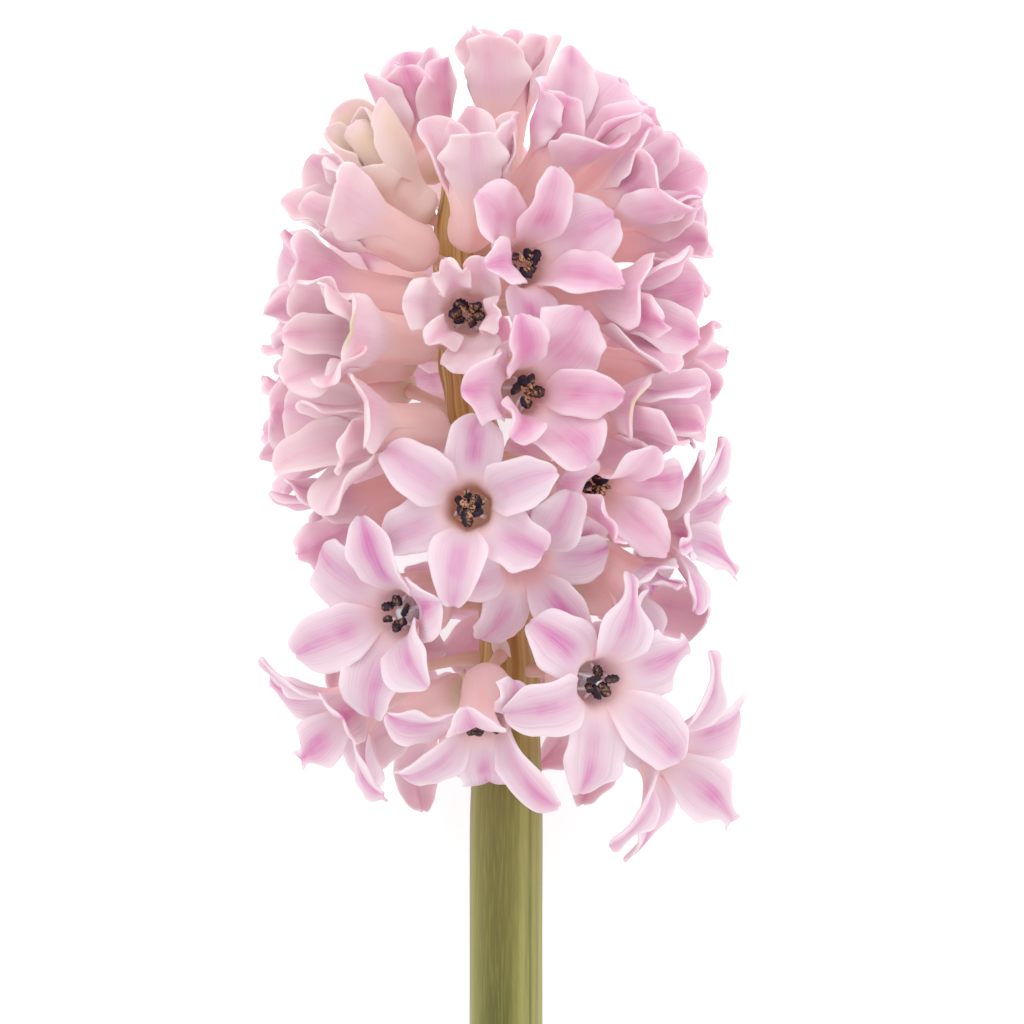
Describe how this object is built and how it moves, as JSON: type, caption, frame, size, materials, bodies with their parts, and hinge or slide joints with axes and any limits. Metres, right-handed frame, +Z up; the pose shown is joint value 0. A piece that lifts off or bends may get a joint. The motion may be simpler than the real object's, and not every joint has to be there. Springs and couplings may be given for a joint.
{
  "type": "hyacinth flower spike",
  "caption": "Cut hyacinth spike lying on its side: a ridged fleshy stalk packed with waxy six-lobed florets, open stars low on the head and narrow cups towards its top.",
  "frame": {"origin": "on the surface that the flower lies on, under the middle of its bounding box", "axes": "+Y runs along the stalk from its cut end to the top of the head, +Z points up from the surface, and +X points right for a viewer above who has the head away from them"},
  "size_m": [0.0856, 0.2436, 0.0758],
  "materials": {
    "waxy_petal": "satin",
    "green_stalk": "satin",
    "dark_anther": "matte"
  },
  "bodies": {
    "root": {"stalk": "green_stalk", "floret_01": "waxy_petal", "floret_02": "waxy_petal", "floret_03": "waxy_petal", "floret_04": "waxy_petal", "floret_05": "waxy_petal", "floret_06": "waxy_petal", "floret_07": "waxy_petal", "floret_08": "waxy_petal", "floret_09": "waxy_petal", "floret_10": "waxy_petal", "floret_11": "waxy_petal", "floret_12": "waxy_petal", "floret_13": "waxy_petal", "floret_14": "waxy_petal", "floret_15": "waxy_petal", "floret_16": "waxy_petal", "floret_17": "waxy_petal", "floret_18": "waxy_petal", "floret_19": "waxy_petal", "floret_20": "waxy_petal", "floret_21": "waxy_petal", "floret_22": "waxy_petal", "floret_23": "waxy_petal", "floret_24": "waxy_petal", "floret_25": "waxy_petal", "floret_26": "waxy_petal", "floret_27": "waxy_petal", "floret_28": "waxy_petal", "floret_29": "waxy_petal", "floret_30": "waxy_petal", "floret_31": "waxy_petal", "floret_32": "waxy_petal", "floret_33": "waxy_petal", "floret_34": "waxy_petal", "floret_35": "waxy_petal", "floret_36": "waxy_petal", "floret_37": "waxy_petal", "floret_38": "waxy_petal", "floret_39": "waxy_petal", "floret_40": "waxy_petal", "floret_41": "waxy_petal", "floret_42": "waxy_petal", "floret_43": "waxy_petal", "floret_44": "waxy_petal", "floret_45": "waxy_petal", "floret_46": "waxy_petal", "stamens_01": "dark_anther", "stamens_02": "dark_anther", "stamens_03": "dark_anther", "stamens_04": "dark_anther", "stamens_05": "dark_anther", "stamens_06": "dark_anther", "stamens_07": "dark_anther", "stamens_09": "dark_anther", "stamens_30": "dark_anther", "stamens_32": "dark_anther", "stamens_33": "dark_anther", "stamens_34": "dark_anther", "stamens_35": "dark_anther"}
  },
  "joints": []
}
